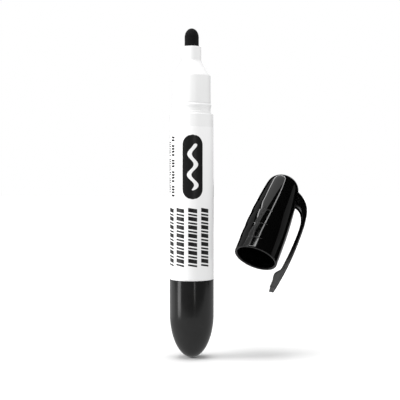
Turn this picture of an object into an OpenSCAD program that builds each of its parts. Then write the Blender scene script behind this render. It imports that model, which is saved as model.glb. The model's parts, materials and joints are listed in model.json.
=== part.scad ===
// Whiteboard marker standing upright on its tail, with its cap off beside it.
// The barrel holds a fibre ink filler, and a bullet nib in a nib holder draws the ink from it.
// Origin: on the barrel's axis, halfway along the barrel. +Z runs from the tail to the nib.

/* [Barrel] */
// Outside diameter over the printed sleeve
body_d = 16; // [15.4:0.2:17]
// Length from the end plug's rim to the shoulder
barrel_len = 59.8; // [50:0.2:80]
// Thickness of the barrel's wall
barrel_wall = 1.3; // [1:0.1:1.6]
// Thickness of the printed film sleeve
sleeve_wall = 0.1; // [0.08:0.01:0.2]
// Bare band between the sleeve's top edge and the shoulder
bare_band = 4.8; // [3:0.2:8]

/* [Neck] */
// Diameter of the neck that the cap fits over
neck_d = 13.9; // [13.2:0.1:14.2]
// Height of the neck above the shoulder
neck_len = 14; // [13.4:0.1:14.6]
// Height of the snap bead above the shoulder
bead_rise = 3; // [2.6:0.1:5]
// How far the snap bead stands out of the neck
bead_proud = 0.18; // [0.1:0.02:0.22]

/* [Nib] */
// Height of the nib holder's cone
cone_len = 5.2; // [4.8:0.1:5.4]
// Diameter of the nib holder's straight snout
snout_d = 6.9; // [6.6:0.1:7]
// Length of the snout
snout_len = 5.1; // [4.8:0.1:5.4]
// Diameter of the felt nib
nib_d = 5.2; // [4.4:0.1:5.4]
// Length of felt that shows
nib_out = 6.7; // [5.8:0.1:7]
// Height of the nib's rounded tip
nib_dome = 3.3; // [2.4:0.1:4]

/* [End plug] */
// Length of the end plug that shows
plug_len = 28.6; // [24:0.2:40]
// Height over which the tail rounds to its tip
tail_round = 16; // [12:0.2:18]

/* [Cap] */
// Outside diameter at the cap's mouth
cap_d = 16.3; // [16.1:0.1:17]
// Overall length of the cap
cap_len = 37; // [36.4:0.1:39]
// Radial play between the neck and the cap's bore
cap_play = 0.25; // [0.22:0.01:0.3]
// How far each finger rib stands out
rib_proud = 0.16; // [0.1:0.02:0.3]
// Number of finger ribs
ribs = 3; // [2:1:3]

/* [Clip] */
// Width of the pocket clip at its root
clip_root_w = 4.4; // [4:0.2:6]
// Width of the pocket clip at its tip
clip_tip_w = 3.6; // [3:0.2:5]

/* [Cap placement] */
// Centre of the cap's mouth, right of the barrel's axis
cap_x = 23.4; // [23:0.1:40]
// Centre of the cap's mouth, behind the barrel's axis
cap_y = 3; // [0:0.1:10]
// Centre of the cap's mouth, above the tail
cap_rise = 35.8; // [30:0.1:60]
// Lean of the cap's axis from upright
cap_lean = 37.2; // [32:0.1:42]
// Direction of the lean, turned from +X
cap_turn = 54.1; // [50:0.1:60]
// Turn of the clip about the cap's axis
cap_roll = -60.4; // [-80:0.1:-40]

/* [Hidden] */

fit_gap = 0.02;
round_steps = 6;
curve_fn = 96;

// Barrel and neck
body_r = body_d / 2;
skin_r = body_r - sleeve_wall;
bore_r = skin_r - barrel_wall;
neck_r = neck_d / 2;
neck_bore_r = neck_r - barrel_wall;
rim_z = -barrel_len / 2;
rim_chamfer = 0.15;
sleeve_low_gap = 0.3;
shoulder_z = barrel_len / 2;
shoulder_round = 0.7;
sleeve_top_z = shoulder_z - bare_band;
neck_top_z = shoulder_z + neck_len;
neck_round = 0.4;
bead_half = 0.8;
root_step_proud = 0.12;
root_step_h = 0.8;
bore_step_low = 2.4;
bore_step_high = 1;

// Nib holder
snout_r = snout_d / 2;
snout_z = neck_top_z + cone_len;
snout_top_z = snout_z + snout_len;
snout_round = 0.3;
skirt_len = 9;
skirt_wall = 1.1;
holder_web_low = 4;
holder_web_high = 3;

// Nib and ink filler
nib_r = nib_d / 2;
nib_top_z = snout_top_z + nib_out;
nib_shaft_r = 1.9;
nib_rear_r = 0.7;
nib_rear_taper = 2.5;
nib_neck_low = 4.5;
nib_neck_high = 2.5;
nib_dive = 12;
filler_top_z = shoulder_z - 3;
filler_low_gap = 1;
filler_r = bore_r - 0.5;
filler_hole_extra = 0.5;
wrap_wall = 0.15;

// End plug
tail_z = rim_z - plug_len;
plug_rim_chamfer = 0.2;
plug_wall = 1.4;
spigot_len = 9;
spigot_chamfer = 0.6;
hollow_waist = 2.6;
hollow_waist_rise = 5;
hollow_low_rise = 4;

// Cap, measured from its mouth
cap_r = cap_d / 2;
rim_round = 0.25;
taper_start = 8;
taper = 0.326;
crown_h = 6.1;
crown_power = 3.2;
cap_bore_r = neck_r + cap_play;
cap_bore_len = neck_len + 1.8;
bore_lead = 0.3;
bore_lead_h = 0.5;
groove_deep = 0.12;
groove_half = 1;
groove_flat = 0.5;
liner_r = 5.9;
liner_top = 27.5;
liner_straight_top = 26;
dome_wall = 1.3;
dome_top = 35.4;
rib_first = 7.4;
rib_pitch = 6.2;
rib_half_h = 2.4;
rib_r = (rib_half_h * rib_half_h + rib_proud * rib_proud) / (2 * rib_proud);
rib_arc = 220;

// Inner cap, measured from the cap's mouth
seal_play = 0.12;
seal_low_z = neck_len + cone_len + 0.4;
seal_top_z = seal_low_z + snout_len;
liner_mouth_z = neck_len + 3.2;
liner_mouth_wall = 0.9;
cup_r = 3.8;
cup_top = 33;
cup_roof = 0.9;
cup_corner = 0.5;
cup_bore_r = nib_r + 0.6;

// Clip outline, as distance out of the cap's axis and height above its mouth
clip_outer_root = [5.2, 32.1];
clip_outer_root_pull = [10.8, 29.2];
clip_outer_knee = [12.7, 18.5];
clip_outer_knee_high = [12.7, 25.6];
clip_outer_knee_low = [12.7, 8.8];
clip_outer_tip = [10, -9.8];
clip_outer_tip_pull = [11.9, -0.3];
clip_inner_root = [6.4, 26.4];
clip_inner_root_pull = [10.4, 26.1];
clip_inner_knee = [11.45, 14];
clip_inner_knee_high = [11.45, 20.8];
clip_inner_knee_low = [11.45, 7.8];
clip_inner_neck = [9.85, -2.4];
clip_inner_neck_pull = [10.6, 2];
clip_inner_tip = [8.9, -10.1];
clip_curve_steps = 12;
clip_bead_r = 1.6;
clip_bead_z = -5;
clip_bead_gap = 0.5;
clip_bead_from = -145;
clip_bead_to = -245;
hinge_at = [11.8, 21];
hinge_cut = 16;
knuckle_r = 1;
knuckle_gap = 0.12;

// Points along an arc in a profile
function arc(centre, r, from, to, steps = round_steps) =
    [for (i = [0:steps]) centre + r * [cos(from + (to - from) * i / steps),
        sin(from + (to - from) * i / steps)]];

// Points along a cubic curve between two ends, past two handles
function curve(a, b, c, d, steps = clip_curve_steps) =
    [for (i = [0:steps]) let (t = i / steps, s = 1 - t)
        s * s * s * a + 3 * s * s * t * b + 3 * s * t * t * c + t * t * t * d];

// Outer radius of the cap at a height above its mouth: a slow taper under a round crown
function nose(z) =
    let (along = max(0, z - taper_start) / (cap_len - taper_start),
        up = max(0, z - cap_len + crown_h) / crown_h)
    cap_r * (1 - taper * along * along) * sqrt(max(0, 1 - pow(up, crown_power)));

// Heights that crowd towards the top of a dome
function crowded(from, to, steps) =
    [for (i = [0:steps]) to - (to - from) * pow(1 - i / steps, 2.2)];

// Solid of revolution about Z
module turned(points) {
    rotate_extrude($fn = curve_fn) polygon(points);
}

// Puts a cap piece, drawn mouth down on the origin, where the cap stands
module place_cap() {
    translate([cap_x, cap_y, tail_z + cap_rise])
        rotate([0, cap_lean, cap_turn])
            rotate([0, 0, cap_roll])
                children();
}

module barrel() {
    bead_z = shoulder_z + bead_rise;
    color("white")
        turned(concat(
            [[bore_r, rim_z], [skin_r - rim_chamfer, rim_z], [skin_r, rim_z + rim_chamfer]],
            arc([skin_r - shoulder_round, shoulder_z - shoulder_round], shoulder_round, 0, 90),
            [[neck_r + root_step_proud, shoulder_z],
             [neck_r + root_step_proud, shoulder_z + root_step_h],
             [neck_r, shoulder_z + root_step_h],
             [neck_r, bead_z - bead_half],
             [neck_r + bead_proud, bead_z - bead_half / 2],
             [neck_r + bead_proud, bead_z + bead_half / 2],
             [neck_r, bead_z + bead_half]],
            arc([neck_r - neck_round, neck_top_z - neck_round], neck_round, 0, 90),
            [[neck_bore_r, neck_top_z],
             [neck_bore_r, shoulder_z - bore_step_high],
             [bore_r, shoulder_z - bore_step_low]]));
}

module print_sleeve() {
    inner_r = skin_r + fit_gap / 2;
    low_z = rim_z + sleeve_low_gap;
    color("white")
        turned([[inner_r, low_z], [body_r, low_z], [body_r, sleeve_top_z], [inner_r, sleeve_top_z]]);
}

module nib_holder() {
    skirt_r = neck_bore_r - fit_gap;
    flange_z = neck_top_z + fit_gap;
    color("white")
        turned(concat(
            [[nib_r + fit_gap, neck_top_z - holder_web_high],
             [skirt_r - skirt_wall, neck_top_z - holder_web_low],
             [skirt_r - skirt_wall, neck_top_z - skirt_len],
             [skirt_r, neck_top_z - skirt_len],
             [skirt_r, flange_z],
             [neck_r - neck_round, flange_z],
             [snout_r, snout_z]],
            arc([snout_r - snout_round, snout_top_z - snout_round], snout_round, 0, 90),
            [[nib_r + fit_gap, snout_top_z]]));
}

module nib() {
    rear_z = filler_top_z - nib_dive;
    dome_z = nib_top_z - nib_dome;
    color("#1a1a1c")
        turned(concat(
            [[0, rear_z], [nib_rear_r, rear_z],
             [nib_shaft_r, rear_z + nib_rear_taper],
             [nib_shaft_r, neck_top_z - nib_neck_low],
             [nib_r, neck_top_z - nib_neck_high]],
            [for (a = [0:10:80]) [nib_r * cos(a), dome_z + nib_dome * sin(a)]],
            [[0, nib_top_z]]));
}

module ink_filler() {
    low_z = rim_z + spigot_len + filler_low_gap;
    hole_r = nib_shaft_r + fit_gap;
    hole_z = filler_top_z - nib_dive - filler_hole_extra;
    color("#2b2b30")
        turned([[0, low_z], [filler_r, low_z], [filler_r, filler_top_z],
            [hole_r, filler_top_z], [hole_r, hole_z], [0, hole_z]]);
}

module filler_wrap() {
    low_z = rim_z + spigot_len + filler_low_gap;
    inner_r = filler_r + fit_gap;
    outer_r = inner_r + wrap_wall;
    color("gainsboro")
        turned([[inner_r, low_z], [outer_r, low_z], [outer_r, filler_top_z], [inner_r, filler_top_z]]);
}

module end_plug() {
    seat_z = rim_z - fit_gap;
    spigot_r = bore_r - fit_gap;
    spigot_z = rim_z + spigot_len;
    hollow_r = spigot_r - plug_wall;
    round_z = tail_z + tail_round;
    tail_steps = 24;
    color("#1c1c1e")
        turned(concat(
            [for (i = [0:tail_steps]) let (a = -90 + 90 * i / tail_steps)
                [body_r * cos(a), round_z + tail_round * sin(a)]],
            [[body_r, seat_z - plug_rim_chamfer], [body_r - plug_rim_chamfer, seat_z],
             [spigot_r, seat_z],
             [spigot_r, spigot_z - spigot_chamfer], [spigot_r - spigot_chamfer, spigot_z],
             [hollow_r, spigot_z],
             [hollow_r, round_z],
             [hollow_r - hollow_waist, tail_z + hollow_waist_rise],
             [0, tail_z + hollow_low_rise]]));
}

// Side view of the pocket clip, out of the cap's axis and up from its mouth.
// A bead near the tip presses on the pocket's cloth.
module clip_outline() {
    bead_centre = [body_r + clip_bead_gap + clip_bead_r, clip_bead_z];
    polygon(concat(
        curve(clip_outer_root, clip_outer_root_pull, clip_outer_knee_high, clip_outer_knee),
        curve(clip_outer_knee, clip_outer_knee_low, clip_outer_tip_pull, clip_outer_tip),
        [clip_inner_tip],
        arc(bead_centre, clip_bead_r, clip_bead_from, clip_bead_to),
        curve(clip_inner_neck, clip_inner_neck_pull, clip_inner_knee_low, clip_inner_knee),
        curve(clip_inner_knee, clip_inner_knee_high, clip_inner_root_pull, clip_inner_root)));
}

// Everything on the root's side of the flexing line
module root_side() {
    translate(hinge_at)
        rotate(hinge_cut)
            translate([-cap_len, 0])
                square([2 * cap_len, cap_len]);
}

// Stretch of the clip that stays fixed to the cap
module clip_stub_outline() {
    difference() {
        intersection() {
            clip_outline();
            root_side();
        }
        translate(hinge_at)
            circle(r = knuckle_r + knuckle_gap, $fn = curve_fn);
    }
}

// Stretch of the clip that springs outwards
module clip_blade_outline() {
    difference() {
        clip_outline();
        root_side();
    }
    intersection() {
        clip_outline();
        translate(hinge_at)
            circle(r = knuckle_r, $fn = curve_fn);
    }
}

// Gives a side outline the clip's width, which narrows towards the tip
module clip_width() {
    low_z = clip_inner_tip[1] - 1;
    intersection() {
        rotate([90, 0, 0])
            linear_extrude(height = cap_d, center = true)
                children();
        rotate([90, 0, 90])
            linear_extrude(height = cap_d)
                polygon([[-clip_tip_w / 2, low_z], [clip_tip_w / 2, low_z],
                    [clip_root_w / 2, cap_len], [-clip_root_w / 2, cap_len]]);
    }
}

// Hollow inside the cap: the bore for the neck, the snap groove and the space for the inner cap
module cap_hollow() {
    groove_z = bead_rise;
    groove_r = cap_bore_r + groove_deep;
    inside = [for (z = crowded(liner_top, dome_top, 5)) [nose(z) - dome_wall, z]];
    turned(concat(
        [[0, -1], [cap_bore_r + bore_lead, -1], [cap_bore_r + bore_lead, 0],
         [cap_bore_r, bore_lead_h],
         [cap_bore_r, groove_z - groove_half], [groove_r, groove_z - groove_flat],
         [groove_r, groove_z + groove_flat], [cap_bore_r, groove_z + groove_half],
         [cap_bore_r, cap_bore_len], [liner_r, cap_bore_len],
         [liner_r, liner_straight_top]],
        inside,
        [[0, dome_top]]));
}

// Low broad ribs for the fingers, on the side of the cap that faces away from the clip
module finger_ribs() {
    for (i = [0:ribs - 1])
        let (z = rib_first + i * rib_pitch)
            rotate([0, 0, 180 - rib_arc / 2])
                rotate_extrude(angle = rib_arc, $fn = curve_fn)
                    intersection() {
                        translate([nose(z) + rib_proud - rib_r, z])
                            circle(r = rib_r, $fn = 4 * curve_fn);
                        translate([nose(z) - rib_proud, z - rib_half_h])
                            square([2 * rib_proud, 2 * rib_half_h]);
                    }
}

module cap_shell() {
    outside = [for (z = crowded(rim_round, cap_len, 28)) [nose(z), z]];
    color("#161618")
        place_cap()
            difference() {
                union() {
                    turned(concat([[0, rim_round], [0, 0], [cap_r - rim_round, 0]], outside));
                    finger_ribs();
                    clip_width() clip_stub_outline();
                }
                cap_hollow();
            }
}

module inner_cap() {
    color("#222224")
        place_cap()
            turned([[liner_r - liner_mouth_wall, liner_mouth_z], [liner_r - fit_gap, liner_mouth_z],
                [liner_r - fit_gap, liner_straight_top - cup_corner],
                [cup_r, liner_straight_top + cup_corner], [cup_r, cup_top - cup_corner],
                [cup_r - cup_corner, cup_top], [0, cup_top],
                [0, cup_top - cup_roof], [cup_bore_r, cup_top - cup_roof],
                [cup_bore_r, seal_top_z + cup_corner], [snout_r + seal_play, seal_top_z],
                [snout_r + seal_play, seal_low_z]]);
}

module pocket_clip() {
    color("#161618")
        place_cap()
            clip_width() clip_blade_outline();
}

barrel();
print_sleeve();
nib_holder();
nib();
ink_filler();
filler_wrap();
end_plug();
cap_shell();
inner_cap();
pocket_clip();
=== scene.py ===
"""Whiteboard marker with its cap off: builds the pieces, finishes and studio around the CAD frame."""

import json
import math

import bmesh
import bpy
from mathutils import Matrix, Vector, noise


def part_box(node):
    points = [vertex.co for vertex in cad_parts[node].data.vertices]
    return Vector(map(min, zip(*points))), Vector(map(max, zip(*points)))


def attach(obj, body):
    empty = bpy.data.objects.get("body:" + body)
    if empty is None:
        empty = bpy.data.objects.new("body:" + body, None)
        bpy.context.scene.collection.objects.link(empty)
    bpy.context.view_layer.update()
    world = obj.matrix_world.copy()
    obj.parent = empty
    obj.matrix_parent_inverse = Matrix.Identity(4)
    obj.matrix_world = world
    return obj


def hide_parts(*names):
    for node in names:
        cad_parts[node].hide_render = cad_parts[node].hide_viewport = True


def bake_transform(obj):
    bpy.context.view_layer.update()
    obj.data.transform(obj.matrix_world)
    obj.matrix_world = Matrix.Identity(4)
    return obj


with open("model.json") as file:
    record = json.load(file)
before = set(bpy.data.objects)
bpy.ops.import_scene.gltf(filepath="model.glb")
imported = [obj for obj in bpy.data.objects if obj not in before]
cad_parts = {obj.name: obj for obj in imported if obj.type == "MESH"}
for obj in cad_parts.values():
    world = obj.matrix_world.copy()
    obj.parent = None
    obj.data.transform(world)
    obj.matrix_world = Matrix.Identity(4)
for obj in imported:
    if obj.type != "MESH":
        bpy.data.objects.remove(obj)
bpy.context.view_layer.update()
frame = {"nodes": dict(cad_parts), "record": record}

bl_info = {
    "name": "Whiteboard Marker",
    "version": (1, 0, 0),
    "blender": (4, 5, 0),
    "location": "View3D > Sidebar > Marker",
    "description": "Builds a whiteboard marker, its cap and a small studio around the CAD frame",
    "category": "Object",
}

# Metres in a millimetre
MM = 0.001
# Points around a turned piece
ROUND = 160
# Play between pieces that are pressed together
FIT = 0.02 * MM


# --- Places taken from the frame -------------------------------------------------------------

def mount(name):
    """The record's mount of that name."""
    return next(m for m in frame["record"]["mounts"] if m["name"] == name)


def joint(name):
    """The record's joint of that name."""
    return next(j for j in frame["record"]["behaviour"]["joints"] if j["name"] == name)


BODY_R = mount("barrel_grip")["dims"]["r_mm"] * MM
NECK_R = mount("cap_neck")["dims"]["r_mm"] * MM
CAP_BORE_R = mount("cap_mouth")["dims"]["r_mm"] * MM
RIM_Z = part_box("barrel")[0].z
NECK_TOP_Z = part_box("barrel")[1].z
SHOULDER_Z = -RIM_Z
SKIN_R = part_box("barrel")[1].x
SLEEVE_LOW_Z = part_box("print_sleeve")[0].z
SLEEVE_TOP_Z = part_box("print_sleeve")[1].z
TAIL_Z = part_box("end_plug")[0].z
PLUG_TOP_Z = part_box("end_plug")[1].z
SNOUT_TOP_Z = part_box("nib_holder")[1].z
SKIRT_LOW_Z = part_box("nib_holder")[0].z
NIB_TOP_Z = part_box("nib")[1].z
NIB_REAR_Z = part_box("nib")[0].z
NIB_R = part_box("nib")[1].x

# The mouth mount's point lies this far inside the mouth
MOUTH_MOUNT_DEPTH = 9 * MM


def cap_place():
    """Matrix from the cap's axes to the frame: origin at the mouth, +Z to the closed end, +X to the clip."""
    up = -Vector(mount("cap_mouth")["axis"]).normalized()
    across = -Vector(joint("clip_flex")["axis"]).normalized()
    out = across.cross(up).normalized()
    place = Matrix((out, up.cross(out), up)).transposed().to_4x4()
    place.translation = Vector(mount("cap_mouth")["pos_m"]) - up * MOUTH_MOUNT_DEPTH
    return place


CAP = cap_place()

# Space for the inner cap, measured from the cap's axis and mouth
LINER_R = 5.9 * MM
LINER_TOP_Z = 26 * MM


# --- Settings --------------------------------------------------------------------------------

def length(name, text, mm, low=0.0):
    """A length property, in metres, from a default in millimetres."""
    return bpy.props.FloatProperty(
        name=name, description=text, default=mm * MM, min=low, unit="LENGTH", precision=5)


def colour(name, text, rgb):
    """A colour property."""
    return bpy.props.FloatVectorProperty(
        name=name, description=text, default=rgb, size=3, min=0.0, max=1.0, subtype="COLOR")


class MarkerBodySettings(bpy.types.PropertyGroup):
    """Sizes of the marker's own pieces that the frame leaves open."""

    wall: length("Wall", "Thickness of the barrel's wall", 1.3)
    edge: length("Edge", "Rounding of the neck's top edge", 0.4)
    shoulder_round: length("Shoulder rounding", "Rounding of the shoulder's edge", 0.75)
    bead_rise: length("Bead rise", "Height of the snap bead above the shoulder", 3.0)
    bead_proud: length("Bead proud", "How far the snap bead stands out", 0.18)
    cone_height: length("Cone height", "Height of the nib holder's cone", 5.2)
    snout_r: length("Snout radius", "Radius of the nib holder's straight end", 3.45)
    nib_dome: length("Nib dome", "Height of the felt's rounded tip", 3.3)
    felt_fuzz: length("Felt fuzz", "How far loose fibres stand out of the felt", 0.07)
    tail_round: length("Tail rounding", "Height over which the tail rounds to its tip", 16.0)


class MarkerCapSettings(bpy.types.PropertyGroup):
    """Sizes of the cap and its clip that the frame leaves open."""

    mouth_r: length("Mouth radius", "Outside radius of the cap's mouth", 8.15)
    cap_length: length("Length", "Length of the cap", 37.0)
    crown_height: length("Crown height", "Height of the cap's round crown", 6.1)
    rib_first: length("First rib", "Height of the lowest finger rib above the mouth", 7.4)
    rib_pitch: length("Rib pitch", "Distance from one finger rib to the next", 6.2)
    rib_proud: length("Rib height", "How far the finger ribs stand out", 0.15)
    crease_depth: length("Crease depth", "Depth of the fine line below each rib", 0.025)
    rib_count: bpy.props.IntProperty(
        name="Ribs", description="Number of finger ribs", default=3, min=1, max=3)
    clip_root_w: length("Clip root width", "Width of the clip where it leaves the cap", 4.7)
    clip_tip_w: length("Clip tip width", "Width of the clip at its tip", 4.2)


class MarkerPrintSettings(bpy.types.PropertyGroup):
    """The marks printed on the sleeve."""

    ink_lift: length("Ink lift", "Thickness of the printed ink", 0.02)
    panel_height: length("Panel height", "Height of the dark panel", 23.0)
    panel_width: length("Panel width", "Width of the dark panel around the barrel", 7.4)
    bar_width: length("Bar width", "Width of each column of bars around the barrel", 3.2)
    column_pitch: bpy.props.FloatProperty(
        name="Column pitch", description="Angle from one column of bars to the next",
        default=math.radians(33.8), subtype="ANGLE")


class MarkerColours(bpy.types.PropertyGroup):
    """Colours of the marker's plastics, inks and felt."""

    white: colour("White plastic", "Barrel and nib holder", (0.78, 0.78, 0.78))
    film: colour("Film", "Ground of the printed sleeve", (0.79, 0.79, 0.79))
    ink: colour("Printing ink", "Marks on the sleeve", (0.010, 0.010, 0.010))
    satin_black: colour("Satin black", "End plug and inner cap", (0.010, 0.010, 0.010))
    gloss_black: colour("Gloss black", "Cap and clip", (0.0012, 0.0012, 0.0012))
    felt: colour("Felt", "Nib soaked in ink", (0.0035, 0.0035, 0.0037))


class MarkerStageSettings(bpy.types.PropertyGroup):
    """Camera and lights."""

    distance: length("Camera distance", "From the camera to the marker's axis", 316.0)
    eye_height: length("Eye height", "Camera height above the tail", 64.6)
    side_step: length("Side step", "Camera's place right of the marker's axis", 3.0)
    tilt: bpy.props.FloatProperty(
        name="Tilt", description="How far the camera looks down",
        default=math.radians(1.32), subtype="ANGLE")
    lens: bpy.props.FloatProperty(
        name="Lens", description="Focal length in millimetres", default=78.3, min=20.0)
    key: bpy.props.FloatProperty(
        name="Key light", description="Strength of the light from the left", default=3.9, min=0.0)
    top: bpy.props.FloatProperty(
        name="Top light", description="Strength of the light from above", default=2.7, min=0.0)


SETTINGS = {
    "marker_body": MarkerBodySettings,
    "marker_cap": MarkerCapSettings,
    "marker_print": MarkerPrintSettings,
    "marker_colours": MarkerColours,
    "marker_stage": MarkerStageSettings,
}


# --- Shader building -------------------------------------------------------------------------

class Value:
    """A socket in a node tree. Arithmetic on it adds Math nodes."""

    def __init__(self, finish, socket):
        self.finish = finish
        self.socket = socket

    def maths(self, operation, *others):
        """A Math node on this value and the others."""
        return self.finish.node("ShaderNodeMath", {"operation": operation}, [self, *others])

    def reversed_maths(self, operation, other):
        """A Math node with this value second."""
        return self.finish.node("ShaderNodeMath", {"operation": operation}, [other, self])

    def __add__(self, other):
        return self.maths("ADD", other)

    def __radd__(self, other):
        return self.maths("ADD", other)

    def __sub__(self, other):
        return self.maths("SUBTRACT", other)

    def __rsub__(self, other):
        return self.reversed_maths("SUBTRACT", other)

    def __mul__(self, other):
        return self.maths("MULTIPLY", other)

    def __rmul__(self, other):
        return self.maths("MULTIPLY", other)

    def step(self, low, high):
        """0 below low, 1 above high, and smooth between them."""
        return self.finish.node(
            "ShaderNodeMapRange", {"interpolation_type": "SMOOTHSTEP", "clamp": True},
            {"Value": self, "From Min": low, "From Max": high})


class Finish:
    """A material and the nodes that feed its shader."""

    def __init__(self, name, roughness, sheen=0.0, specular=0.5):
        self.material = bpy.data.materials.new(name)
        self.material.use_nodes = True
        self.tree = self.material.node_tree
        self.shader = self.tree.nodes["Principled BSDF"]
        self.shader.inputs["Roughness"].default_value = roughness
        self.shader.inputs["Sheen Weight"].default_value = sheen
        self.shader.inputs["Specular IOR Level"].default_value = specular

    def plug(self, target, source):
        """Gives an input socket a value, a colour or another node's output."""
        if isinstance(source, Value):
            self.tree.links.new(source.socket, target)
        elif target.type == "RGBA" and len(source) == 3:
            target.default_value = (*source, 1.0)
        else:
            target.default_value = source

    def node(self, kind, settings=None, inputs=(), output=0):
        """Adds a node: its settings first, then the values or links of its sockets."""
        made = self.tree.nodes.new(kind)
        for key, value in (settings or {}).items():
            setattr(made, key, value)
        pairs = inputs.items() if isinstance(inputs, dict) else enumerate(inputs)
        for key, value in pairs:
            self.plug(made.inputs[key], value)
        return Value(self, made.outputs[output])

    def place(self, stretch=(1, 1, 1)):
        """The point on the piece, in metres, stretched along the axes."""
        at = self.node("ShaderNodeTexCoord", output="Object")
        return self.node("ShaderNodeVectorMath", {"operation": "MULTIPLY"}, [at, stretch])

    def noise(self, grain, detail=3.0, stretch=(1, 1, 1), distortion=0.0):
        """Noise from 0 to 1 whose grain is about that size in metres."""
        return self.node(
            "ShaderNodeTexNoise", {},
            {"Vector": self.place(stretch), "Scale": 1 / grain, "Detail": detail,
             "Distortion": distortion})

    def cells(self, size, stretch=(1, 1, 1), feature="F1"):
        """Distance to the nearest of scattered points about that far apart in metres."""
        return self.node(
            "ShaderNodeTexVoronoi", {"feature": feature},
            {"Vector": self.place(stretch), "Scale": 1 / size}, "Distance")

    def blend(self, factor, a, b):
        """Colour a where factor is 0 and b where it is 1."""
        return self.node(
            "ShaderNodeMix", {"data_type": "RGBA"}, {0: factor, 6: a, 7: b}, 2)

    def colour(self, source):
        """Feeds the shader's colour."""
        self.plug(self.shader.inputs["Base Color"], source)

    def roughness(self, source):
        """Feeds the shader's roughness."""
        self.plug(self.shader.inputs["Roughness"], source)

    def relief(self, height, depth):
        """Bumps the surface by height, whose full range is depth metres."""
        bump = self.node("ShaderNodeBump", {}, {"Height": height, "Distance": depth, "Strength": 1.0})
        self.plug(self.shader.inputs["Normal"], bump)


def shade(rgb, factor):
    """A colour made lighter or darker."""
    return tuple(min(1.0, c * factor) for c in rgb)


def white_plastic(rgb):
    """Smooth moulded polypropylene with faint flow marks."""
    f = Finish("white_plastic", 0.3)
    cloud = f.noise(6 * MM, 2.0)
    f.colour(f.blend(cloud, shade(rgb, 0.985), shade(rgb, 1.01)))
    f.roughness(0.14 + 0.08 * f.noise(1.2 * MM))
    f.relief(f.noise(0.5 * MM, 4.0) + 0.6 * f.noise(4 * MM, 1.0), 0.004 * MM)
    return f.material


def printed_film(rgb):
    """Thin white film, drawn tight along the barrel."""
    f = Finish("printed_film", 0.22)
    f.colour(f.blend(f.noise(9 * MM, 2.0), shade(rgb, 0.985), shade(rgb, 1.01)))
    streaks = f.noise(0.9 * MM, 3.0, (1, 1, 0.06))
    f.roughness(0.12 + 0.07 * streaks)
    f.relief(streaks + 0.5 * f.noise(0.35 * MM, 2.0), 0.004 * MM)
    return f.material


def printing_ink(rgb):
    """Screen-printed ink, a little uneven where it lies thin."""
    f = Finish("printing_ink", 0.3)
    thin = f.noise(0.4 * MM, 4.0).step(0.55, 0.8)
    f.colour(f.blend(thin, rgb, shade(rgb, 2.2)))
    f.roughness(0.24 + 0.16 * f.noise(0.6 * MM))
    f.relief(f.noise(0.12 * MM, 2.0), 0.004 * MM)
    return f.material


def white_ink(rgb):
    """White ink on the dark panel."""
    f = Finish("white_ink", 0.3)
    f.colour(f.blend(f.noise(0.5 * MM), shade(rgb, 0.97), rgb))
    f.roughness(0.26 + 0.1 * f.noise(0.6 * MM))
    f.relief(f.noise(0.12 * MM, 2.0), 0.003 * MM)
    return f.material


def satin_black(rgb):
    """Moulded black plastic with a fine satin texture."""
    f = Finish("satin_black_plastic", 0.15)
    f.colour(f.blend(f.noise(3 * MM), shade(rgb, 0.8), shade(rgb, 1.3)))
    f.roughness(0.13 + 0.06 * f.noise(0.8 * MM))
    f.relief(f.noise(0.16 * MM, 3.0) + 0.5 * f.noise(2.5 * MM, 1.0), 0.002 * MM)
    return f.material


def gloss_black(rgb):
    """Polished black plastic with hairline scratches from use."""
    f = Finish("gloss_black_plastic", 0.05)
    f.colour(f.blend(f.noise(4 * MM), shade(rgb, 0.8), shade(rgb, 1.3)))
    scratches = f.cells(1.1 * MM, (1, 1, 0.08), "DISTANCE_TO_EDGE").step(0.0, 0.02)
    f.roughness(0.035 + 0.03 * f.noise(1.5 * MM) + 0.05 * (1 - scratches))
    f.relief(f.noise(3.5 * MM, 1.0) + 0.05 * scratches, 0.002 * MM)
    return f.material


def black_wear_and_sheen(rgb):
    """Polished black plastic, rubbed rougher towards the clip's tip, with a painted reflection that greys
    its colour there.
    """
    f = Finish("black_plastic_wear_and_painted_sheen", 0.1)
    wear_and_sheen = f.node("ShaderNodeAttribute", {"attribute_name": "wear_and_sheen"}, output="Fac")
    rubbed_and_sheen = wear_and_sheen * (0.75 + 0.5 * f.noise(0.7 * MM))
    # Painted reflection: towards the tip the colour is painted grey, as if the plastic mirrored the floor;
    # the rubbed wear there only makes it rougher.
    f.colour(f.blend(rubbed_and_sheen, rgb, (0.04, 0.04, 0.04)))
    f.roughness(0.05 + 0.03 * f.noise(1.5 * MM) + 0.28 * rubbed_and_sheen)
    f.relief(f.noise(3.5 * MM, 1.0) + f.noise(0.2 * MM, 3.0, (1, 1, 0.3)) * rubbed_and_sheen, 0.002 * MM)
    return f.material


def soaked_felt(rgb):
    """Bonded fibre soaked in ink, matt and slightly frayed."""
    f = Finish("soaked_felt", 0.9, sheen=0.02, specular=0.12)
    fibres = f.noise(0.16 * MM, 4.0, (1, 1, 0.25), 1.5)
    f.colour(f.blend(fibres, shade(rgb, 0.4), shade(rgb, 3.0)))
    f.roughness(0.75 + 0.25 * fibres)
    f.relief(fibres + 0.6 * f.cells(0.3 * MM), 0.12 * MM)
    return f.material


def fibre_rod(rgb):
    """Loose fibres that run along the ink filler."""
    f = Finish("fibre_rod", 0.85, specular=0.25)
    fibres = f.noise(0.25 * MM, 4.0, (1, 1, 0.04))
    f.colour(f.blend(fibres, shade(rgb, 0.8), shade(rgb, 5.0)))
    f.roughness(0.7 + 0.3 * fibres)
    f.relief(fibres, 0.1 * MM)
    return f.material


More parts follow.
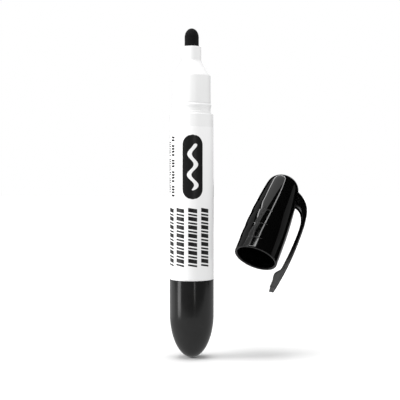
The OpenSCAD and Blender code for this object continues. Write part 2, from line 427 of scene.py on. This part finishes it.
def clear_film():
    """Cloudy film around the ink filler."""
    f = Finish("clear_film", 0.25)
    f.colour(f.blend(f.noise(3 * MM), (0.72, 0.73, 0.74), (0.82, 0.82, 0.82)))
    f.roughness(0.2 + 0.15 * f.noise(1 * MM, 2.0, (1, 1, 0.1)))
    f.relief(f.noise(0.8 * MM, 3.0, (1, 1, 0.15)), 0.02 * MM)
    return f.material


# --- Mesh building ---------------------------------------------------------------------------

def smooth(x, low, high):
    """0 below low, 1 above high, and smooth between them."""
    t = min(1.0, max(0.0, (x - low) / (high - low)))
    return t * t * (3 - 2 * t)


def new_piece(name, mesh, material, body, stands_for=(), sharp=40):
    """Makes an object of a mesh, smooth but for its sharp edges, and puts it on its body.

    A piece with no body is left unattached. sharp is in degrees.
    """
    piece = bpy.data.objects.new(name, mesh)
    bpy.context.scene.collection.objects.link(piece)
    build = bmesh.new()
    build.from_mesh(mesh)
    bmesh.ops.recalc_face_normals(build, faces=build.faces)
    build.to_mesh(mesh)
    build.free()
    mesh.materials.append(material)
    mesh.shade_smooth()
    mesh.set_sharp_from_angle(angle=math.radians(sharp))
    if body:
        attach(piece, body)
    if stands_for:
        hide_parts(*stands_for)
    return piece


def filleted(points, steps=5):
    """An outline of (radius, height, fillet) points with its corners rounded."""
    out = []
    for i, (r, z, fillet) in enumerate(points):
        here = Vector((r, z))
        if fillet <= 0:
            out.append((r, z))
            continue
        before = Vector(points[i - 1][:2]) - here
        after = Vector(points[(i + 1) % len(points)][:2]) - here
        reach = min(fillet, 0.45 * before.length, 0.45 * after.length)
        start = here + before.normalized() * reach
        end = here + after.normalized() * reach
        for k in range(steps + 1):
            t = k / steps
            p = start * (1 - t) ** 2 + here * (2 * t * (1 - t)) + end * t ** 2
            out.append((p.x, p.y))
    return out


def dome(radius, height, z, steps):
    """Points of a dome's outline, from its widest ring at z to just short of its tip."""
    return [(radius * math.cos(a), z + height * math.sin(a))
            for a in (math.pi / 2 * k / steps for k in range(steps))]


def drawn_mesh(name, draw, *details):
    """A mesh made by a function that draws in a build."""
    mesh = bpy.data.meshes.new(name)
    build = bmesh.new()
    draw(build, *details)
    build.to_mesh(mesh)
    build.free()
    return mesh


def turned_mesh(name, profile, around=ROUND, closed=False, shape=None, place=None):
    """Turns a profile of (radius, height) about Z. shape changes a point's radius, place moves it."""

    def draw(build):
        rings = []
        for r, z in profile:
            ring = []
            for k in range(1 if r < 1e-9 else around):
                angle = 2 * math.pi * k / around
                radius = shape(r, z, angle) if shape else r
                point = Vector((radius * math.cos(angle), radius * math.sin(angle), z))
                ring.append(build.verts.new(place @ point if place else point))
            rings.append(ring)
        pairs = list(zip(rings, rings[1:]))
        if closed:
            pairs.append((rings[-1], rings[0]))
        for low, high in pairs:
            for k in range(around):
                corners = [low[k % len(low)], low[(k + 1) % len(low)],
                           high[(k + 1) % len(high)], high[k % len(high)]]
                corners = list(dict.fromkeys(corners))
                if len(corners) > 2:
                    build.faces.new(corners)

    return drawn_mesh(name, draw)


def wrapped_patch(build, outline, across, along, radius, lift):
    """Adds a thin closed patch to a build, wrapped on a cylinder of that radius.

    outline gives, for two numbers from 0 to 1, the distance around the cylinder and the height.
    """
    layers = []
    for r in (radius, radius + lift):
        grid = []
        for i in range(across + 1):
            row = []
            for j in range(along + 1):
                around, z = outline(i / across, j / along)
                angle = around / BODY_R - math.pi / 2
                row.append(build.verts.new((r * math.cos(angle), r * math.sin(angle), z)))
            grid.append(row)
        layers.append(grid)
    for grid in layers:
        for i in range(across):
            for j in range(along):
                build.faces.new((grid[i][j], grid[i + 1][j], grid[i + 1][j + 1], grid[i][j + 1]))
    low, high = layers
    edge = ([(i, 0) for i in range(across)] + [(across, j) for j in range(along)]
            + [(i, along) for i in range(across, 0, -1)] + [(0, j) for j in range(along, 0, -1)])
    for (a, b), (c, d) in zip(edge, edge[1:] + edge[:1]):
        build.faces.new((low[a][b], low[c][d], high[c][d], high[a][b]))


# --- Marker pieces ---------------------------------------------------------------------------

class WHITEBOARD_OT_barrel(bpy.types.Operator):
    """Build the white barrel with its shoulder, neck and snap bead"""

    bl_idname = "whiteboard.barrel"
    bl_label = "Barrel"

    def execute(self, context):
        sizes = context.scene.marker_body
        bore = SKIN_R - sizes.wall
        neck_bore = NECK_R - sizes.wall
        root_r = NECK_R + 0.12 * MM
        root_top = SHOULDER_Z + 0.8 * MM
        bead = SHOULDER_Z + sizes.bead_rise
        bead_r = NECK_R + sizes.bead_proud
        fine = 0.06 * MM
        finest = 0.05 * MM
        outline = filleted([
            (bore, RIM_Z, 0),
            (SKIN_R, RIM_Z, 0.15 * MM),
            (SKIN_R, SHOULDER_Z, sizes.shoulder_round * 1.2),
            (root_r, SHOULDER_Z, 0.1 * MM),
            (root_r, root_top, fine),
            (NECK_R, root_top + 0.05 * MM, fine),
            (NECK_R, bead - 0.85 * MM, fine),
            (bead_r, bead - 0.3 * MM, 0.25 * MM),
            (bead_r, bead + 0.3 * MM, 0.25 * MM),
            (NECK_R, bead + 0.5 * MM, finest),
            (NECK_R - 0.1 * MM, bead + 0.75 * MM, finest),
            (NECK_R, bead + 1 * MM, finest),
            (NECK_R, NECK_TOP_Z, sizes.edge),
            (neck_bore, NECK_TOP_Z, 0),
            (neck_bore, SHOULDER_Z - 1 * MM, 0),
            (bore, SHOULDER_Z - 2.4 * MM, 0)])
        new_piece("barrel_body", turned_mesh("barrel_body", outline, closed=True),
                  white_plastic(context.scene.marker_colours.white),
                  "marker", ["barrel"])
        return {"FINISHED"}


class WHITEBOARD_OT_sleeve(bpy.types.Operator):
    """Build the white film sleeve around the barrel, with its lap seam at the back"""

    bl_idname = "whiteboard.sleeve"
    bl_label = "Printed sleeve"

    def execute(self, context):
        inner = SKIN_R + FIT / 2
        round_edge = 0.03 * MM
        outline = filleted([
            (inner, SLEEVE_LOW_Z, 0),
            (BODY_R, SLEEVE_LOW_Z, round_edge),
            (BODY_R, SLEEVE_TOP_Z, round_edge),
            (inner, SLEEVE_TOP_Z, 0)], 2)
        film = printed_film(context.scene.marker_colours.film)
        new_piece("film_sleeve", turned_mesh("film_sleeve", outline, closed=True),
                  film, "marker", ["print_sleeve"])
        new_piece("film_lap", drawn_mesh("film_lap", self.lap), film, "marker")
        return {"FINISHED"}

    @staticmethod
    def lap(build):
        """The strip at the back where the film laps over itself."""
        start = math.pi * BODY_R - 1 * MM
        width = 2.2 * MM
        film_thickness = 0.03 * MM

        def outline(u, v):
            return start + width * u, SLEEVE_LOW_Z + (SLEEVE_TOP_Z - SLEEVE_LOW_Z) * v

        wrapped_patch(build, outline, 6, 1, BODY_R, film_thickness)


class WHITEBOARD_OT_print(bpy.types.Operator):
    """Print the dark panel, the columns of slanted bars and the fine dashes on the sleeve"""

    bl_idname = "whiteboard.print"
    bl_label = "Printed marks"

    def execute(self, context):
        marks = context.scene.marker_print
        colours = context.scene.marker_colours
        ink = printing_ink(colours.ink)
        for name, draw, material, slot in (
                ("print_panel", self.panel, ink, "black_print"),
                ("print_bars", self.bars, ink, "black_print"),
                ("print_dashes", self.dashes, ink, "black_print"),
                ("print_stroke", self.stroke, white_ink(colours.film), "printed_film")):
            new_piece(name, drawn_mesh(name, draw, marks), material, "marker")
        return {"FINISHED"}

    @staticmethod
    def panel_spot(marks):
        """Middle of the dark panel: distance around from the front, and height."""
        return 0.4 * MM, SLEEVE_TOP_Z - 2.9 * MM - marks.panel_height / 2

    def panel(self, build, marks):
        """A tall panel with round ends."""
        middle, centre = self.panel_spot(marks)
        half_w = marks.panel_width / 2
        straight = marks.panel_height / 2 - half_w

        def outline(u, v):
            lengthwise = (straight + half_w) * (2 * v - 1)
            past = max(0.0, abs(lengthwise) - straight) / half_w
            return (middle + (2 * u - 1) * half_w * math.sqrt(max(0.0, 1 - past * past)),
                    centre + lengthwise)

        wrapped_patch(build, outline, 16, 72, BODY_R, marks.ink_lift)

    def stroke(self, build, marks):
        """A white wavy stroke, as a marker would draw it, down the panel."""
        middle, centre = self.panel_spot(marks)
        half_length = marks.panel_height / 2 - 3.2 * MM
        half_width = 0.806 * MM
        swing = 1.35 * MM
        swings = 4.5

        def outline(u, v):
            """The swing fades a little downwards, and the stroke is blunt at its ends."""
            across = swing * math.sin(swings * math.pi * v) * (1 - 0.25 * v)
            blunt = math.sqrt(max(0.0, 1 - abs(2 * v - 1) ** 24))
            return (middle + across + half_width * blunt * (2 * u - 1),
                    centre + half_length * (2 * v - 1))

        wrapped_patch(build, outline, 4, 90, BODY_R + marks.ink_lift, marks.ink_lift / 2)

    def bars(self, build, marks):
        """Columns of slanted bars around the front of the sleeve, thick and thin by turns."""
        top = SLEEVE_TOP_Z - 28.9 * MM
        pitch = 3.0 * MM
        pairs = 7
        slant = 0.5 * MM
        turn = math.radians(2.9)
        for column in range(-2, 2):
            middle = (column * marks.column_pitch + turn) * BODY_R
            for pair in range(pairs):
                for drop, tall in ((0.0, 1.45 * MM), (1.95 * MM, 0.65 * MM)):
                    high = top - pair * pitch - drop

                    def outline(u, v, middle=middle, high=high, tall=tall):
                        return (middle + marks.bar_width * (u - 0.5),
                                high - tall * (1 - v) - slant * u)

                    wrapped_patch(build, outline, 8, 1, BODY_R, marks.ink_lift)

    def dashes(self, build, marks):
        """Two lines of fine ticks left of the panel: groups of a bold one, and a lighter even one."""
        width = 1.8 * MM
        for degrees, drop, pitch, tall, groups in (
                (-56, 3.4 * MM, 1.06 * MM, 0.72 * MM, (2, 4, 3, 4, 4)),
                (-75, 5.2 * MM, 0.78 * MM, 0.4 * MM, (7, 8, 7))):
            middle = math.radians(degrees) * BODY_R
            high = SLEEVE_TOP_Z - drop
            for group in groups:
                for tick in range(group):
                    slant = 0.12 * MM * (tick % 3 - 1)

                    def outline(u, v, middle=middle, high=high, tall=tall, slant=slant):
                        return middle + width * (u - 0.5), high - tall * (1 - v) + slant * u

                    wrapped_patch(build, outline, 2, 1, BODY_R, marks.ink_lift)
                    high -= pitch
                high -= 0.9 * pitch


class WHITEBOARD_OT_nib_holder(bpy.types.Operator):
    """Build the white cone and snout that hold the nib in the neck"""

    bl_idname = "whiteboard.nib_holder"
    bl_label = "Nib holder"

    def execute(self, context):
        sizes = context.scene.marker_body
        snout_z = NECK_TOP_Z + sizes.cone_height
        skirt = NECK_R - sizes.wall - FIT
        skirt_bore = skirt - 1.1 * MM
        bore = NIB_R + FIT
        seat_z = NECK_TOP_Z + FIT
        outline = filleted([
            (bore, NECK_TOP_Z - 3 * MM, 0),
            (skirt_bore, NECK_TOP_Z - 4 * MM, 0),
            (skirt_bore, SKIRT_LOW_Z, 0),
            (skirt, SKIRT_LOW_Z, 0.1 * MM),
            (skirt, seat_z, 0),
            (NECK_R - 0.4 * MM, seat_z, 0.08 * MM),
            (sizes.snout_r, snout_z, 0.5 * MM),
            (sizes.snout_r, SNOUT_TOP_Z, 0.3 * MM),
            (bore, SNOUT_TOP_Z, 0.1 * MM)])
        new_piece("nib_holder_body", turned_mesh("nib_holder_body", outline, closed=True),
                  white_plastic(context.scene.marker_colours.white),
                  "marker", ["nib_holder"])
        return {"FINISHED"}


class WHITEBOARD_OT_nib(bpy.types.Operator):
    """Build the felt bullet nib, slightly frayed, with its shaft"""

    bl_idname = "whiteboard.nib"
    bl_label = "Felt nib"

    def execute(self, context):
        sizes = context.scene.marker_body
        dome_z = NIB_TOP_Z - sizes.nib_dome
        shaft_r = 1.9 * MM
        felt_r = NIB_R - 0.6 * sizes.felt_fuzz
        tip_z = NIB_TOP_Z - 0.5 * sizes.felt_fuzz
        side_z = SNOUT_TOP_Z - 0.4 * MM
        side_rows = 26
        outline = [(0.0, NIB_REAR_Z), (0.7 * MM, NIB_REAR_Z), (shaft_r, NIB_REAR_Z + 2.5 * MM),
                   (shaft_r, NECK_TOP_Z - 4.5 * MM), (felt_r, NECK_TOP_Z - 2.5 * MM)]
        outline += [(felt_r, side_z + (dome_z - side_z) * k / side_rows) for k in range(side_rows)]
        outline += [*dome(felt_r, tip_z - dome_z, dome_z, 34), (0.0, tip_z)]

        def fray(r, z, angle):
            """Lets clumps and single fibres stand out of the felt that shows."""
            if z < SNOUT_TOP_Z:
                return r
            at = Vector((r * math.cos(angle), r * math.sin(angle), z * 0.6))
            clump = noise.noise(at / (0.5 * MM))
            hair = noise.noise(at / (0.16 * MM) + Vector((7, 3, 1)))
            return r + sizes.felt_fuzz * (0.55 * clump + 0.6 * hair) * min(1.0, r / (1 * MM))

        new_piece("felt_nib", turned_mesh("felt_nib", outline, 220, shape=fray),
                  soaked_felt(context.scene.marker_colours.felt), "marker", ["nib"], 80)
        return {"FINISHED"}


class WHITEBOARD_OT_ink_store(bpy.types.Operator):
    """Give the fibre filler and its film their finishes"""

    bl_idname = "whiteboard.ink_store"
    bl_label = "Ink filler"

    def execute(self, context):
        for node, material in (
                ("ink_filler", fibre_rod(context.scene.marker_colours.felt)),
                ("filler_wrap", clear_film())):
            mesh = frame["nodes"][node].data
            mesh.materials.clear()
            mesh.materials.append(material)
        return {"FINISHED"}


class WHITEBOARD_OT_end_plug(bpy.types.Operator):
    """Build the black end plug with its bullet tail and spigot"""

    bl_idname = "whiteboard.end_plug"
    bl_label = "End plug"

    def execute(self, context):
        sizes = context.scene.marker_body
        round_z = TAIL_Z + sizes.tail_round
        seat_z = RIM_Z - FIT
        spigot = SKIN_R - sizes.wall - FIT
        hollow = spigot - 1.4 * MM
        tail = [(0.0, TAIL_Z), *reversed(dome(BODY_R, -sizes.tail_round, round_z, 48))]
        rest = filleted([
            (BODY_R, round_z + 1 * MM, 0),
            (BODY_R, seat_z, 0.22 * MM),
            (spigot, seat_z, 0.05 * MM),
            (spigot, PLUG_TOP_Z, 0.5 * MM),
            (hollow, PLUG_TOP_Z, 0.2 * MM),
            (hollow, round_z, 0),
            (hollow - 2.6 * MM, TAIL_Z + 5 * MM, 0.5 * MM),
            (0, TAIL_Z + 4 * MM, 0)])
        new_piece("end_plug_body", turned_mesh("end_plug_body", tail + rest),
                  satin_black(context.scene.marker_colours.satin_black),
                  "marker", ["end_plug"])
        return {"FINISHED"}


# --- Cap pieces ------------------------------------------------------------------------------

def nose(z, sizes):
    """Outer radius of the cap at a height above its mouth: a slow taper under a round crown."""
    taper = 0.326
    taper_start = 8 * MM
    crown_power = 3.2
    along = max(0.0, z - taper_start) / (sizes.cap_length - taper_start)
    up = max(0.0, z - sizes.cap_length + sizes.crown_height) / sizes.crown_height
    return sizes.mouth_r * (1 - taper * along ** 2) * math.sqrt(max(0.0, 1 - up ** crown_power))


class WHITEBOARD_OT_cap_shell(bpy.types.Operator):
    """Build the cap's hollow shell with its finger ribs"""

    bl_idname = "whiteboard.cap_shell"
    bl_label = "Cap shell"

    @staticmethod
    def rim(sizes):
        """The thin rounded rim around the mouth."""
        return filleted([
            (CAP_BORE_R, 1.2 * MM, 0),
            (CAP_BORE_R, 0.35 * MM, 0.1 * MM),
            (CAP_BORE_R + 0.3 * MM, 0, 0.15 * MM),
            (sizes.mouth_r, 0, 0.25 * MM),
            (sizes.mouth_r, 0.6 * MM, 0)])

    @staticmethod
    def creases(sizes):
        """Heights of the fine lines below the ribs."""
        low = sizes.rib_first - sizes.rib_pitch / 2
        return [low + k * sizes.rib_pitch for k in range(sizes.rib_count)]

    def outside(self, sizes):
        """The outer outline, with rows close together at the creases and towards the tip."""
        top = sizes.cap_length
        start = 0.9 * MM
        rows = 170
        crease_row = 0.03 * MM
        heights = [top - (top - start) * (1 - k / rows) ** 1.5 for k in range(rows)]
        heights += [z + step * crease_row for z in self.creases(sizes) for step in range(-5, 6)]
        return [(nose(z, sizes), z) for z in sorted(set(heights))] + [(0.0, top)]

    @staticmethod
    def inside(sizes, groove_z):
        """The hollow, from its dome down to the bore and the snap groove."""
        wall = 1.3 * MM
        dome_z = 35.2 * MM
        shoulder_z = 32 * MM
        floor_z = 15.8 * MM
        groove_r = CAP_BORE_R + 0.12 * MM
        soft = 0.1 * MM
        return filleted([
            (0, dome_z + 0.2 * MM, 0),
            (nose(dome_z, sizes) - wall, dome_z, 0.8 * MM),
            (nose(shoulder_z, sizes) - wall, shoulder_z, 1.5 * MM),
            (LINER_R, LINER_TOP_Z, 0.5 * MM),
            (LINER_R, floor_z, 0),
            (CAP_BORE_R, floor_z, soft),
            (CAP_BORE_R, groove_z + 1 * MM, soft),
            (groove_r, groove_z + 0.5 * MM, soft),
            (groove_r, groove_z - 0.5 * MM, soft),
            (CAP_BORE_R, groove_z - 1 * MM, soft)])

    def ribs(self, sizes):
        """A function that gives the shell's radius its ribs and creases, away from the clip."""
        creases = self.creases(sizes)
        low = creases[0]
        high = low + sizes.rib_pitch * sizes.rib_count
        crease_width = 0.07 * MM
        run_out = 2 * MM

        def ribbed(r, z, angle):
            if r < nose(z, sizes) - 0.3 * MM or z < 2 * MM:
                return r
            aside = abs(angle - math.pi)
            line = 1 - smooth(aside, math.radians(85), math.radians(100))
            r -= sizes.crease_depth * line * sum(
                math.exp(-((z - crease) / crease_width) ** 2) for crease in creases)
            if not low < z < high:
                return r
            reach = 1 - smooth(aside, math.radians(20), math.radians(90))
            wave = abs(math.sin(math.pi * (z - low) / sizes.rib_pitch))
            ends = smooth(z, low, low + run_out) * (1 - smooth(z, high - run_out, high))
            return r + sizes.rib_proud * reach * ends * (wave - 0.5)

        return ribbed

    def execute(self, context):
        sizes = context.scene.marker_cap
        groove_z = context.scene.marker_body.bead_rise
        profile = self.rim(sizes) + self.outside(sizes) + self.inside(sizes, groove_z)
        mesh = turned_mesh("cap_body", profile, 200, shape=self.ribs(sizes), place=CAP)
        new_piece("cap_body", mesh, gloss_black(context.scene.marker_colours.gloss_black),
                  "cap", ["cap_shell"])
        return {"FINISHED"}


class WHITEBOARD_OT_inner_cap(bpy.types.Operator):
    """Build the inner cap that seals around the snout"""

    bl_idname = "whiteboard.inner_cap"
    bl_label = "Inner cap"

    def execute(self, context):
        mouth_z = 17.2 * MM
        cup_r = 3.8 * MM
        cup_bore = 3.2 * MM
        cup_top = 33 * MM
        roof_z = cup_top - 0.9 * MM
        seal_r = 3.57 * MM
        seal_low_z = 19.6 * MM
        seal_top_z = 24.7 * MM
        outline = filleted([
            (LINER_R - 0.9 * MM, mouth_z, 0.15 * MM),
            (LINER_R - FIT, mouth_z, 0.1 * MM),
            (LINER_R - FIT, LINER_TOP_Z - 0.5 * MM, 0.3 * MM),
            (cup_r, LINER_TOP_Z + 0.5 * MM, 0.3 * MM),
            (cup_r, cup_top, 0.5 * MM),
            (0, cup_top, 0),
            (0, roof_z, 0),
            (cup_bore, roof_z, 0.5 * MM),
            (cup_bore, seal_top_z + 0.5 * MM, 0.2 * MM),
            (seal_r, seal_top_z, 0.2 * MM),
            (seal_r, seal_low_z, 0.2 * MM)])
        mesh = turned_mesh("inner_cap_body", outline, closed=True, place=CAP)
        new_piece("inner_cap_body", mesh, satin_black(context.scene.marker_colours.satin_black),
                  "cap", ["inner_cap"])
        return {"FINISHED"}


def cubic(a, b, c, d, t):
    """A point along a cubic curve between a and d, with the handles b and c."""
    s = 1 - t
    return (Vector(a) * s ** 3 + Vector(b) * (3 * s * s * t)
            + Vector(c) * (3 * s * t * t) + Vector(d) * t ** 3)


class WHITEBOARD_OT_pocket_clip(bpy.types.Operator):
    """Build the pocket clip as one smooth moulding, curved at its knee"""

    bl_idname = "whiteboard.pocket_clip"
    bl_label = "Pocket clip"

    # Side view in millimetres, out of the cap's axis and up from its mouth: a curve from the root
    # to the join and one from the join to the tip
    OUTER = (((5.2, 32.1), (10.8, 29.2), (12.7, 25.6), (12.7, 18.5)),
             ((12.7, 18.5), (12.85, 8.8), (12.3, -0.3), (10.3, -9.8)))
    INNER = (((6.4, 26.4), (10.4, 26.1), (11.45, 20.8), (11.45, 14.0)),
             ((11.45, 14.0), (11.35, 6.0), (10.4, -2.0), (8.9, -10.1)))
    # Share of the rings that lie above the join
    JOIN = 0.35
    # How near the gripping bead comes to the cap's axis, in millimetres
    BEAD_REACH = 8.5
    RINGS = 120
    CORNER_STEPS = 6

    def side(self, curves, t):
        """A point on one side of the clip, from its root at 0 to its tip at 1."""
        if t < self.JOIN:
            return cubic(*curves[0], t / self.JOIN)
        return cubic(*curves[1], (t - self.JOIN) / (1 - self.JOIN))

    def section(self, t, sizes):
        """The clip's cross-section at t: the points of a rectangle with round corners."""
        outer, inner = self.side(self.OUTER, t), self.side(self.INNER, t)
        below = -inner.y
        bead = smooth(below, 1.6, 4.6) * (1 - 0.25 * smooth(below, 5.6, 7.2))
        inner = inner - Vector((1, 0)) * bead * max(0.0, inner.x - self.BEAD_REACH)
        half = (sizes.clip_root_w * (1 - t) + sizes.clip_tip_w * t) / 2 / MM
        through = outer - inner
        thick = through.length
        corner = min(0.5 - 0.2 * smooth(t, 0.5, 0.9), 0.42 * thick)
        points = []
        for out, aside in ((1, 1), (1, -1), (-1, -1), (-1, 1)):
            for k in range(self.CORNER_STEPS + 1):
                turn = (k / self.CORNER_STEPS) * math.pi / 2
                a, b = math.cos(turn), math.sin(turn)
                if out * aside < 0:
                    a, b = b, a
                along = thick / 2 + out * (thick / 2 - corner + corner * a)
                across = aside * (half - corner + corner * b)
                spot = inner + through.normalized() * along
                points.append(Vector((spot.x, across, spot.y)) * MM)
        return points

    def draw_clip(self, build, sizes):
        """Skins the cross-sections, and notes at each point how worn it is and how far its painted
        reflection greys it.
        """
        wear_and_sheen = build.verts.layers.float.new("wear_and_sheen")
        rings = []
        for i in range(self.RINGS + 1):
            t = i / self.RINGS
            rings.append([build.verts.new(CAP @ point) for point in self.section(t, sizes)])
            for vert in rings[-1]:
                # How worn the point is, and how much painted reflection greys its colour.
                vert[wear_and_sheen] = smooth(t, 0.5, 0.95)
        for low, high in zip(rings, rings[1:]):
            for k in range(len(low)):
                n = (k + 1) % len(low)
                build.faces.new((low[k], low[n], high[n], high[k]))
        build.faces.new(rings[0])
        build.faces.new(rings[-1])

    def execute(self, context):
        mesh = drawn_mesh("clip_body", self.draw_clip, context.scene.marker_cap)
        piece = new_piece("clip_body", mesh, black_wear_and_sheen(context.scene.marker_colours.gloss_black),
                          None, ["pocket_clip"], 50)
        knee = Vector(joint("clip_flex")["pos_m"])
        up = CAP.to_3x3() @ Vector((0, 0, 1))
        knee + up * 2.5 * MM
        knee - up * 4 * MM
        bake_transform(piece)
        return {"FINISHED"}


# --- Stage -----------------------------------------------------------------------------------

class WHITEBOARD_OT_stage(bpy.types.Operator):
    """Set the camera, the pale floor and the soft studio lights"""

    bl_idname = "whiteboard.stage"
    bl_label = "Stage"

    def execute(self, context):
        self.camera(context)
        self.floor(context)
        self.sky(context)
        self.lights(context)
        context.scene.view_settings.view_transform = "Standard"
        return {"FINISHED"}

    def camera(self, context):
        """A long lens in front of the marker, a little above its middle."""
        stage = context.scene.marker_stage
        data = bpy.data.cameras.new("camera")
        data.lens = stage.lens
        data.sensor_width = 36
        data.clip_start = 0.01
        camera = bpy.data.objects.new("camera", data)
        context.scene.collection.objects.link(camera)
        camera.location = (stage.side_step, -stage.distance, TAIL_Z + stage.eye_height)
        camera.rotation_euler = (math.pi / 2 - stage.tilt, 0, 0)
        context.scene.camera = camera

    def floor(self, context):
        """A plain pale floor at the tail that takes shadows, but doesn't mirror in the pieces."""
        mesh = bpy.data.meshes.new("floor")
        reach = 3.0
        corners = [(x * reach, y * reach, TAIL_Z) for x, y in ((-1, -1), (1, -1), (1, 1), (-1, 1))]
        mesh.from_pydata(corners, [], [(0, 1, 2, 3)])
        f = Finish("pale_floor", 0.7, specular=0.0)
        f.colour(f.blend(f.noise(0.2, 2.0), (0.56, 0.56, 0.56), (0.57, 0.57, 0.57)))
        f.roughness(0.65 + 0.1 * f.noise(0.02))
        mesh.materials.append(f.material)
        floor = bpy.data.objects.new("floor", mesh)
        context.scene.collection.objects.link(floor)
        floor.visible_glossy = False
        floor.visible_diffuse = False
        floor.visible_shadow = False

    def sky(self, context):
        """White surroundings that light the pieces softly, but don't mirror in them."""
        world = bpy.data.worlds.new("studio")
        world.use_nodes = True
        world.node_tree.nodes["Background"].inputs["Color"].default_value = (1, 1, 1, 1)
        world.node_tree.nodes["Background"].inputs["Strength"].default_value = 1.0
        context.scene.world = world
        world.cycles_visibility.glossy = False

    # Each softbox: name, bearing, rise, width and height in degrees, and brightness
    SOFTBOXES = (
        ("key_softbox", -67.5, 17, 19, 58, 3.4),
        ("front_strip", 15.5, 4, 4, 24, 2.6),
        ("right_card", 98, 10, 28, 26, 0.2),
        ("left_card", -122, 16, 52, 60, 0.26),
        ("rear_card", 165, 14, 30, 26, 0.9))

    def lights(self, context):
        """Two soft lights that light the pieces, and softboxes and panels that mirror in them."""
        stage = context.scene.marker_stage
        self.sun(context, "key", stage.key, 36, self.toward(-84, 18))
        self.sun(context, "top", stage.top, 40, Vector((0, 0, 1)))
        for softbox in self.SOFTBOXES:
            self.softbox(context, *softbox)
        below = Vector((0, 0.35, TAIL_Z))
        self.area(context, "floor_glow", below, below + Vector((0, 0, 1)), (1.0, 0.9), 0.5)
        self.overhead(context)

    def sun(self, context, name, strength, spread, place):
        """A soft light from far away, that doesn't mirror in the pieces."""
        data = bpy.data.lights.new(name, "SUN")
        data.energy = strength
        data.angle = math.radians(spread)
        self.lamp(context, data, place, Vector()).visible_glossy = False

    # Corners of the overhead panel's outline, for a panel 1 m up
    OVERHEAD = ((-0.36, 0.85), (-0.64, 0.4), (-0.66, 0.0), (-0.52, -0.32), (-0.12, -0.53),
                (0.12, -0.44), (0.34, -0.28), (0.35, 0.1), (0.28, 0.56), (0.0, 1.15))

    def overhead(self, context):
        """A dim panel overhead with a bright rounded edge."""
        height = 0.7
        edge_width = 0.045
        corners = [Vector((x * height, y * height, height)) for x, y in self.OVERHEAD]
        middle = Vector((-0.16, 0.37, 1)) * height
        self.area(context, "overhead", middle, Vector((middle.x, middle.y, 0)), (0.64, 0.8), 1.1)
        for k, corner in enumerate(corners):
            end = corners[(k + 1) % len(corners)]
            centre = (corner + end) / 2
            size = ((end - corner).length, edge_width)
            edge = self.area(context, f"overhead_edge_{k}", centre, Vector(), size, 7.0)
            along = (end - corner).normalized()
            back = centre.normalized()
            edge.rotation_euler = Matrix(
                (along, back.cross(along).normalized(), back)).transposed().to_euler()

    @staticmethod
    def toward(bearing, rise):
        """Unit vector at a bearing right of the camera's side and an angle above level, in degrees."""
        a, e = math.radians(bearing), math.radians(rise)
        return Vector((math.sin(a) * math.cos(e), -math.cos(a) * math.cos(e), math.sin(e)))

    def softbox(self, context, name, bearing, rise, wide, tall, glow):
        """A softbox seen only in reflections."""
        far = 0.7
        size = [2 * far * math.tan(math.radians(angle / 2)) for angle in (wide, tall)]
        self.area(context, name, self.toward(bearing, rise) * far, Vector(), size, glow)

    def area(self, context, name, place, target, size, glow):
        """A rectangle of light that mirrors in the pieces, but doesn't light them."""
        data = bpy.data.lights.new(name, "AREA")
        data.shape = "RECTANGLE"
        data.size, data.size_y = size
        data.energy = glow * math.pi * size[0] * size[1]
        lamp = self.lamp(context, data, place, target)
        lamp.visible_diffuse = False
        return lamp

    def lamp(self, context, data, place, target):
        """Puts a light at a place, aimed at a target and hidden from the camera."""
        lamp = bpy.data.objects.new(data.name, data)
        context.scene.collection.objects.link(lamp)
        lamp.location = place
        lamp.rotation_euler = (target - place).to_track_quat("-Z", "Y").to_euler()
        lamp.visible_camera = False
        return lamp


class WHITEBOARD_PT_panel(bpy.types.Panel):
    """Buttons and settings for the marker"""

    bl_idname = "WHITEBOARD_PT_panel"
    bl_label = "Whiteboard Marker"
    bl_space_type = "VIEW_3D"
    bl_region_type = "UI"
    bl_category = "Marker"

    def draw(self, context):
        for step in STEPS:
            self.layout.operator(step.bl_idname)
        for name, group in SETTINGS.items():
            box = self.layout.box()
            for key in group.__annotations__:
                box.prop(getattr(context.scene, name), key)


STEPS = (
    WHITEBOARD_OT_stage,
    WHITEBOARD_OT_barrel,
    WHITEBOARD_OT_sleeve,
    WHITEBOARD_OT_print,
    WHITEBOARD_OT_nib_holder,
    WHITEBOARD_OT_nib,
    WHITEBOARD_OT_ink_store,
    WHITEBOARD_OT_end_plug,
    WHITEBOARD_OT_cap_shell,
    WHITEBOARD_OT_inner_cap,
    WHITEBOARD_OT_pocket_clip,
)
CLASSES = (*SETTINGS.values(), *STEPS, WHITEBOARD_PT_panel)


def register():
    """Registers the classes and hangs the settings on the scene."""
    for cls in CLASSES:
        bpy.utils.register_class(cls)
    for name, group in SETTINGS.items():
        setattr(bpy.types.Scene, name, bpy.props.PointerProperty(type=group))


def unregister():
    """Takes the settings and the classes away again."""
    for name in SETTINGS:
        delattr(bpy.types.Scene, name)
    for cls in reversed(CLASSES):
        bpy.utils.unregister_class(cls)


def main():
    """Registers the classes and builds everything."""
    register()
    for step in STEPS:
        group, action = step.bl_idname.split(".")
        getattr(getattr(bpy.ops, group), action)()


if __name__ == "__main__":
    main()
